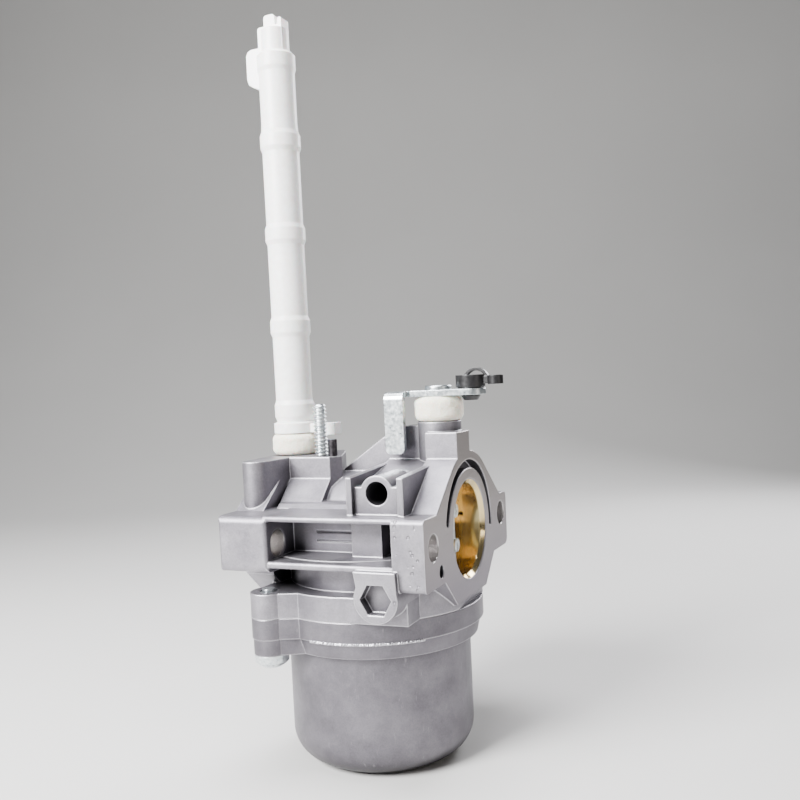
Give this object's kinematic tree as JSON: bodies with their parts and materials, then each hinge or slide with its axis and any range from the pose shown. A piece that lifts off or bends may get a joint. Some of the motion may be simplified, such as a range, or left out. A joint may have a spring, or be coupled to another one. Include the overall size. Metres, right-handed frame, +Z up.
{
  "type": "carburetor",
  "caption": "Small-engine float carburetor: cast body with bolt flanges, throttle lever with rod clip, tall choke stem and a bowl screwed on below.",
  "frame": {"origin": "centre of the outlet bore on the engine-side flange face", "axes": "+X out of the engine-side flange along the bore, +Z up towards the throttle lever and choke stem, -Y the front with the hexagon boss and the open port"},
  "size_m": [0.0729, 0.0816, 0.2112],
  "materials": {
    "cast_body": "blasted die casting",
    "cast_bowl": "tumbled die casting",
    "zinc": "clear zinc plate",
    "nylon": "moulded white nylon",
    "foam": "off-white felt foam",
    "black_nylon": "moulded black nylon",
    "float_plastic": "black float plastic",
    "brass": "machined",
    "rubber": "moulded"
  },
  "bodies": {
    "carburetor": {"carburetor_body": "cast_body", "float_bowl": "cast_bowl", "bowl_gasket": "rubber", "bowl_screws": "zinc", "bowl_screw_washers": "zinc", "throttle_shaft_seal": "foam", "choke_shaft_seal": "foam", "cover_stud": "zinc", "choke_stop_pin": "zinc", "float_hinge_pin": "zinc", "needle_seat": "brass", "main_jet": "brass", "main_nozzle": "brass", "pilot_jet": "brass", "fuel_inlet_nipple": "brass"},
    "throttle": {"throttle_shaft": "zinc", "throttle_lever": "zinc", "throttle_plate": "brass", "throttle_plate_screws": "zinc"},
    "rod_clip": {"link_clip": "black_nylon"},
    "choke": {"choke_shaft": "nylon", "choke_plate": "zinc"},
    "float": {"float": "float_plastic"},
    "needle": {"float_needle": "rubber"}
  },
  "joints": [
    {"name": "throttle_turn", "type": "hinge", "parent": "carburetor", "child": "throttle", "pos_m": [-0.0077, 0, 0], "axis": [0, 0, 1], "range_deg": [0, 70]},
    {"name": "choke_turn", "type": "hinge", "parent": "carburetor", "child": "choke", "pos_m": [-0.0532, 0, 0], "axis": [0, 0, 1], "range_deg": [0, 75]},
    {"name": "clip_swivel", "type": "hinge", "parent": "throttle", "child": "rod_clip", "pos_m": [0.00175, 0, 0], "axis": [0, 0, 1], "range_deg": [-60, 60]},
    {"name": "float_swing", "type": "hinge", "parent": "carburetor", "child": "float", "pos_m": [-0.02885, 0.0185, -0.0225], "axis": [-1, 0, 0], "range_deg": [0, 8]},
    {"name": "needle_lift", "type": "slide", "parent": "carburetor", "child": "needle", "axis": [0, 0, 1], "range_m": [0, 0.0009]}
  ],
  "couplings": [
    {"joint": "needle_lift", "follows": "float_swing", "m_per_rad": 0.006}
  ]
}
